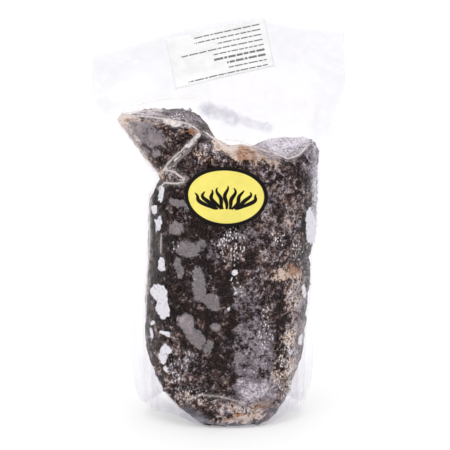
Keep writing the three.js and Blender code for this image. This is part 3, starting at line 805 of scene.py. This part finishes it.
def add_thread(bm, path, radius, lift, tone):
    """A tube that tapers at both ends, along (point, normal) pairs, added to `bm`."""
    tube = bmesh.new()
    tones = tube.verts.layers.float.new("tone")
    bmesh.ops.create_grid(tube, x_segments=len(path) - 1, y_segments=THREAD_SIDES, size=0.5)
    for vert in tube.verts:
        i = round((vert.co.x + 0.5) * (len(path) - 1))
        near, normal = path[i]
        ahead = (path[min(i + 1, len(path) - 1)][0] - path[max(i - 1, 0)][0]).normalized()
        angle = math.tau * (vert.co.y + 0.5)
        taper = min(1.0, 0.55 * min(i, len(path) - 1 - i))
        size = radius * taper * (1 + 0.22 * noise.noise(near * 420))
        out = normal * math.cos(angle) + ahead.cross(normal) * math.sin(angle)
        vert.co = near + normal * (radius * lift) + out * size
        vert[tones] = tone
    bmesh.ops.remove_doubles(tube, verts=tube.verts, dist=1e-6)
    bmesh.ops.recalc_face_normals(tube, faces=tube.faces)
    mesh = bpy.data.meshes.new("thread")
    tube.to_mesh(mesh)
    tube.free()
    bm.from_mesh(mesh)
    bpy.data.meshes.remove(mesh)


class MOZUKU_OT_threads(bpy.types.Operator):
    """Lays single threads over the block, pressed into its surface"""

    bl_idname = "mozuku.threads"
    bl_label = "Single threads"

    def execute(self, context):
        look = settings().seaweed
        tree = tree_of("frozen_seaweed")
        points = points_of(bpy.data.objects["frozen_seaweed"].data)
        draw = random.Random(11)
        bm = bmesh.new()
        bm.verts.layers.float.new("tone")
        for _ in range(look.thread_count):
            start = Vector(points[draw.randrange(len(points))])
            lean = Vector((draw.uniform(-0.5, 0.5), draw.uniform(-0.5, 0.5), draw.uniform(-0.5, 0.5)))
            lean += noise.noise_vector(start * 22)
            path = thread_path(tree, start, lean.normalized(), draw.randrange(12, 34), draw)
            if len(path) >= 8:
                radius = look.thread_radius * draw.uniform(0.45, 1.0)
                add_thread(bm, path, radius, draw.uniform(-0.1, 0.35), draw.random())
        piece = object_from(bm, "single_threads")
        write_seaweed_fields(piece.data)
        settle(piece, None, seaweed_material("single_threads", look, "tone"))
        return {"FINISHED"}


# The film


def outer_skin(node, outward):
    """The outer face of a CAD sheet, as quads. `outward` is the side that it faces, as a direction."""
    bm = merged_copy(node)
    hidden = [face for face in bm.faces if face.normal.dot(outward) < 0.04]
    bmesh.ops.delete(bm, geom=hidden, context="FACES")
    bmesh.ops.join_triangles(bm, faces=bm.faces, angle_face_threshold=3.1, angle_shape_threshold=3.1)
    return bm


def crease_height(point):
    """Soft creases of the film, mostly in the empty top, from -1 to 1."""
    free = smoothstep(0.170, 0.200, point.z)
    place = Vector((point.x * 30 + point.z * 14, point.y * 20, point.z * 26 - point.x * 18))
    broad = noise.noise(place) * 1.4
    sharp = 1 - 3.2 * abs(noise.noise(place * 2.1 + Vector((4, 9, 2))))
    return float(free) * (0.55 * broad + 0.35 * max(0.0, sharp)) + 0.08 * noise.noise(point * 160)


def film_panel(node, name, outward, levels, back_seed=0):
    """One panel of the pouch, with its material's fields. `back_seed` scatters the back panel's marks."""
    look = settings().film
    piece = object_from(outer_skin(node, outward), name)
    finer = piece.modifiers.new("finer", "SUBSURF")
    finer.levels = finer.render_levels = levels
    finer.boundary_smooth = "PRESERVE_CORNERS"
    apply_modifiers(piece)
    points, normals = points_of(piece.data), normals_of(piece.data)
    smooth_across, smooth_up = front_view(points)
    across, up = front_view(points, 1.5)
    block = tree_of("frozen_seaweed")
    gaps = np.array([block.find_nearest(Vector(point))[3] for point in points])
    free = smoothstep(0.003, 0.008, gaps)
    touching = smoothstep(0.0024, 0.0018, gaps) * smoothstep(0.012, 0.016, points[:, 1])
    ahead = smoothstep(-0.15, -0.40, normals[:, 1])
    streaks = np.zeros(len(points))
    if not back_seed:
        # Painted highlights along the front's fold lines.
        streaks = ahead * line_field(FOLD_HIGHLIGHT_LINES, smooth_across, smooth_up)
    folds = signed_distance(FOLD_HIGHLIGHT_LINES, smooth_across, smooth_up)
    creases = np.array([crease_height(Vector(point)) for point in points]) + 0.4 * streaks
    points = points + normals * (creases * look.crease_depth)[:, None]
    move_points(piece.data, points)
    if back_seed:
        # On the back: scattered painted reflection over air pockets and a painted sheen of veils, where the
        # film touches.
        pockets = (scattered_field(points, back_seed, 70, 0.0022, 0.005, 0.9) * touching - 0.5) * 5
        veils = scattered_field(points, back_seed + 1, 60, 0.004, 0.010, 0.5) * touching
        film_shades = np.zeros(len(points))
    else:
        # On the front: painted reflection over the air pockets, a painted sheen of veils, and painted shade
        # in folds and below the block.
        pockets = mark_depth(AIR_POCKETS, across, up)
        veils = mark_field(SMOOTH_VEILS, across, up, 0.35)
        film_shades = line_field(FILM_SHADE_LINES, smooth_across + 0.6 * (across - smooth_across), up)
    for field, values in (("pocket", pockets), ("veil", veils), ("film_shade", film_shades), ("fold_highlight", streaks),
                          ("fold", folds), ("free", free)):
        write_field(piece.data, field, values)
    thick = piece.modifiers.new("film", "SOLIDIFY")
    thick.thickness = look.thickness
    thick.offset = -1
    return apply_modifiers(piece)


class MOZUKU_OT_film(bpy.types.Operator):
    """Builds the pouch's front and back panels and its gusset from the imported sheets, creased and thin"""

    bl_idname = "mozuku.film"
    bl_label = "Pouch film"

    def execute(self, context):
        look = settings().film
        material = film_material(look)
        front = film_panel("film_front", "pouch_front", Vector((0, -1, 0)), FRONT_LEVELS)
        settle(front, "film_front", material)
        back = film_panel("film_back", "pouch_back", Vector((0, 1, 0)), BACK_LEVELS, BACK_SEED)
        settle(back, "film_back", material)
        gusset = object_from(merged_copy("film_gusset"), "pouch_gusset")
        for name, value in (("pocket", NO_POCKET), ("veil", 0), ("film_shade", 0), ("fold_highlight", 0), ("free", 1)):
            write_field(gusset.data, name, np.full(len(gusset.data.vertices), value))
        settle(gusset, "film_gusset", material)
        return {"FINISHED"}


# The labels


def on_film(tree, x, z, lift):
    """The front film's point at x and z, lifted along its normal. Past its edge the film is carried on."""
    hit, normal, _, _ = tree.ray_cast(Vector((x, -0.2, z)), Vector((0, 1, 0)))
    if hit is None:
        near, normal, _, _ = tree.find_nearest(Vector((x, -0.02, z)))
        hit, normal = Vector((x, near.y, z)), Vector((0, -1, 0))
    return hit + normal * lift


def middle_of(node):
    low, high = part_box(node)
    return (low + high) / 2


def lay_on_film(bm, tree, place, lift):
    """Moves each vertex, flat on X and Y so far, to the film: `place(x, y)` gives its x and z there."""
    for vert in bm.verts:
        x, z = place(vert.co.x, vert.co.y)
        vert.co = on_film(tree, x, z, lift)


def stand_thick(piece, thickness):
    """Gives a laid sheet its thickness, outwards from the film."""
    bm = bmesh.new()
    bm.from_mesh(piece.data)
    bm.normal_update()
    if sum(face.normal.y for face in bm.faces) > 0:
        bmesh.ops.reverse_faces(bm, faces=bm.faces)
    bm.to_mesh(piece.data)
    bm.free()
    thick = piece.modifiers.new("paper", "SOLIDIFY")
    thick.thickness = thickness
    thick.offset = 1
    return apply_modifiers(piece)


def ribbon(bm, centre, width, steps):
    """A flat stroke on X and Y: `centre(t)` is its middle line and `width(t)` its half width."""
    made = bmesh.ops.create_grid(bm, x_segments=steps, y_segments=1, size=0.5)
    for vert in made["verts"]:
        t = vert.co.x + 0.5
        side = 1 if vert.co.y > 0 else -1
        here = centre(t)
        ahead = centre(min(1.0, t + 0.01)) - centre(max(0.0, t - 0.01))
        across = Vector((-ahead.y, ahead.x)).normalized()
        edge = here + across * (side * width(t))
        vert.co = Vector((edge.x, edge.y, 0))


def motif_strand(i, phase):
    """Middle line of the motif's strand `i`, counted from the middle one, flat on X and Y."""
    foot, reach, rise = 0.0016 * i, 0.0031 * i, 0.0140 - 0.0013 * abs(i)

    def centre(t):
        wave = 0.0013 * math.sin(8 * t + phase) * (0.25 + 0.75 * t)
        return Vector((foot + reach * t * (2 - t) + wave, -0.0072 + rise * t))

    return centre


def motif_width(t):
    """Half width of a strand of the motif, from its foot to its tip."""
    return 0.00095 * (0.25 + math.sin(math.pi * min(1, t * 0.85 + 0.12)))


class MOZUKU_OT_oval_label(bpy.types.Operator):
    """Lays the yellow oval label, its dark rim and its wavy strand motif on the front film"""

    bl_idname = "mozuku.oval_label"
    bl_label = "Oval label"

    def execute(self, context):
        look = settings().label
        tree = tree_of("pouch_front")
        middle = middle_of("oval_label")
        middle.z -= look.drop
        over_paper = PRINT_LIFT + look.paper_thickness

        def in_oval(x, y):
            """Where a square's point comes to lie when the square is rounded to the oval."""
            return (middle.x + OVAL_HALF.x * x * math.sqrt(1 - y * y / 2),
                    middle.z + OVAL_HALF.y * y * math.sqrt(1 - x * x / 2))

        bm = bmesh.new()
        bmesh.ops.create_grid(bm, x_segments=40, y_segments=30, size=1)
        lay_on_film(bm, tree, in_oval, PAPER_LIFT)
        paper = stand_thick(object_from(bm, "oval_label_paper"), look.paper_thickness)
        settle(paper, "oval_label", paper_material("oval_label_paper", look.yellow, 0.42))

        bm = bmesh.new()
        ring = bmesh.ops.create_circle(bm, segments=120, radius=1)
        bmesh.ops.extrude_edge_only(bm, edges=bm.edges[:])
        outer = set(ring["verts"])
        for vert in bm.verts:
            inset = 0 if vert in outer else look.rim
            x, z = vert.co.x * (OVAL_HALF.x - inset), vert.co.y * (OVAL_HALF.y - inset)
            vert.co = on_film(tree, middle.x + x, middle.z + z, over_paper)
        rim = stand_thick(object_from(bm, "oval_label_rim"), OVAL_INK)
        settle(rim, None, paper_material("oval_label_rim", look.ink, 0.5, 0.1))

        bm = bmesh.new()
        draw = random.Random(8)
        for i in range(-MOTIF_STRANDS, MOTIF_STRANDS + 1):
            ribbon(bm, motif_strand(i, draw.uniform(0, 6)), motif_width, 30)
        lay_on_film(bm, tree, lambda x, y: (middle.x + x, middle.z + y), over_paper)
        motif = stand_thick(object_from(bm, "oval_label_motif"), OVAL_INK)
        settle(motif, None, paper_material("oval_label_motif", look.ink, 0.5, 0.1))
        return {"FINISHED"}


def level_line(start, stop, level):
    return lambda t: Vector((start + (stop - start) * t, level))


def bar_pieces(draw, right):
    """A row of bars, from the right to a random end: (start, stop) pairs along x."""
    end = right - draw.uniform(0.45, 0.98) * 2 * (NOTE_HALF.x - 0.005)
    start = right
    while start > end:
        stop = max(end, start - draw.uniform(0.0016, 0.0058))
        yield start, stop
        start = stop - 0.0007


class MOZUKU_OT_note_label(bpy.types.Operator):
    """Lays the white label with its plain ruled bars on the empty film above the block"""

    bl_idname = "mozuku.note_label"
    bl_label = "White label"

    def execute(self, context):
        look = settings().label
        tree = tree_of("pouch_front")
        middle = middle_of("note_label")

        def place(x, y):
            return (middle.x + x * math.cos(NOTE_TILT) - y * math.sin(NOTE_TILT),
                    middle.z + x * math.sin(NOTE_TILT) + y * math.cos(NOTE_TILT))

        bm = bmesh.new()
        bmesh.ops.create_grid(bm, x_segments=36, y_segments=18, size=1)
        lay_on_film(bm, tree, lambda x, y: place(NOTE_HALF.x * x, NOTE_HALF.y * y), PAPER_LIFT)
        paper = stand_thick(object_from(bm, "note_label_paper"), look.paper_thickness)
        settle(paper, "note_label", paper_material("note_label_paper", look.white, 0.45))

        bm = bmesh.new()
        draw = random.Random(5)
        for row in range(BAR_ROWS):
            level = 0.0118 - BAR_PITCH * row
            tall = 0.00062 if row in BOLD_ROWS else 0.00034
            for start, stop in bar_pieces(draw, NOTE_HALF.x - 0.004):
                ribbon(bm, level_line(start, stop, level), lambda t, tall=tall: tall, 3)
        lay_on_film(bm, tree, place, PRINT_LIFT + look.paper_thickness)
        bars = stand_thick(object_from(bm, "note_label_bars"), NOTE_INK)
        settle(bars, None, paper_material("note_label_bars", look.grey, 0.5))
        return {"FINISHED"}


# The stage


def soft_light(name, place, aim, size, energy):
    data = bpy.data.lights.new(name, "AREA")
    data.shape = "RECTANGLE"
    data.size, data.size_y = size
    data.energy = energy
    lamp = bpy.data.objects.new(name, data)
    lamp.location = place
    lamp.rotation_euler = (Vector(aim) - Vector(place)).to_track_quat("-Z", "Y").to_euler()
    bpy.context.scene.collection.objects.link(lamp)


def studio_world():
    """A white surround, brighter overhead than at the horizon."""
    world = bpy.data.worlds.new("studio")
    world.use_nodes = True
    tree = world.node_tree
    background = tree.nodes["Background"]
    background.inputs["Color"].default_value = (1, 1, 1, 1)
    direction = tree.nodes.new("ShaderNodeTexCoord").outputs["Generated"]
    parts = tree.nodes.new("ShaderNodeSeparateXYZ")
    tree.links.new(direction, parts.inputs[0])
    brighter = tree.nodes.new("ShaderNodeMapRange")
    for key, value in (("From Min", 0.0), ("From Max", 1.0), ("To Min", 0.35), ("To Max", 1.50)):
        brighter.inputs[key].default_value = value
    tree.links.new(parts.outputs["Z"], brighter.inputs["Value"])
    tree.links.new(brighter.outputs[0], background.inputs["Strength"])
    return world


def front_camera(look):
    """The camera in front of the pouch, looking down at the view's tilt."""
    aim = Vector((0.0039, 0.0, 0.1208))
    towards = Vector((0, -math.cos(VIEW_TILT), math.sin(VIEW_TILT)))
    data = bpy.data.cameras.new("camera")
    data.lens = look.lens
    data.sensor_width = 36
    data.clip_end = 20
    camera = bpy.data.objects.new("camera", data)
    camera.location = aim + towards * look.distance
    camera.rotation_euler = (-towards).to_track_quat("-Z", "Y").to_euler()
    bpy.context.scene.collection.objects.link(camera)
    return camera


class MOZUKU_OT_stage(bpy.types.Operator):
    """Sets the pale floor, the soft lights and the camera"""

    bl_idname = "mozuku.stage"
    bl_label = "Stage"

    def execute(self, context):
        bm = bmesh.new()
        bmesh.ops.create_grid(bm, x_segments=8, y_segments=8, size=4)
        floor = object_from(bm, "pale_floor")
        floor.data.materials.append(floor_material())
        context.scene.world = studio_world()
        context.scene.view_settings.view_transform = "Standard"
        context.scene.cycles.transparent_max_bounces = 24
        soft_light("key", (-0.7, -0.9, 1.0), (0, 0, 0.1), (0.7, 0.7), 2.4)
        soft_light("fill", (0.9, -0.7, 0.5), (0, 0, 0.12), (0.6, 0.8), 0.6)
        soft_light("back", (0.2, 0.9, 1.0), (0, 0, 0.15), (0.8, 0.4), 1)
        bpy.context.scene.camera = front_camera(settings().stage)
        return {"FINISHED"}


class MOZUKU_PT_panel(bpy.types.Panel):
    """One button for each step, in the order in which they run"""

    bl_idname = "MOZUKU_PT_panel"
    bl_label = "Frozen mozuku pouch"
    bl_space_type = "VIEW_3D"
    bl_region_type = "UI"
    bl_category = "Mozuku"

    def draw(self, context):
        for operator in OPERATORS:
            self.layout.operator(operator.bl_idname)


OPERATORS = (
    MOZUKU_OT_stage,
    MOZUKU_OT_block,
    MOZUKU_OT_threads,
    MOZUKU_OT_film,
    MOZUKU_OT_oval_label,
    MOZUKU_OT_note_label,
)
CLASSES = (
    SeaweedSettings,
    FilmSettings,
    LabelSettings,
    StageSettings,
    MozukuSettings,
    *OPERATORS,
    MOZUKU_PT_panel,
)


def register():
    noise.seed_set(NOISE_SEED)
    for cls in CLASSES:
        bpy.utils.register_class(cls)
    bpy.types.Scene.mozuku = PointerProperty(type=MozukuSettings)


def unregister():
    del bpy.types.Scene.mozuku
    for cls in reversed(CLASSES):
        bpy.utils.unregister_class(cls)


def main():
    register()
    for operator in OPERATORS:
        group, name = operator.bl_idname.split(".")
        getattr(getattr(bpy.ops, group), name)()


if __name__ == "__main__":
    main()
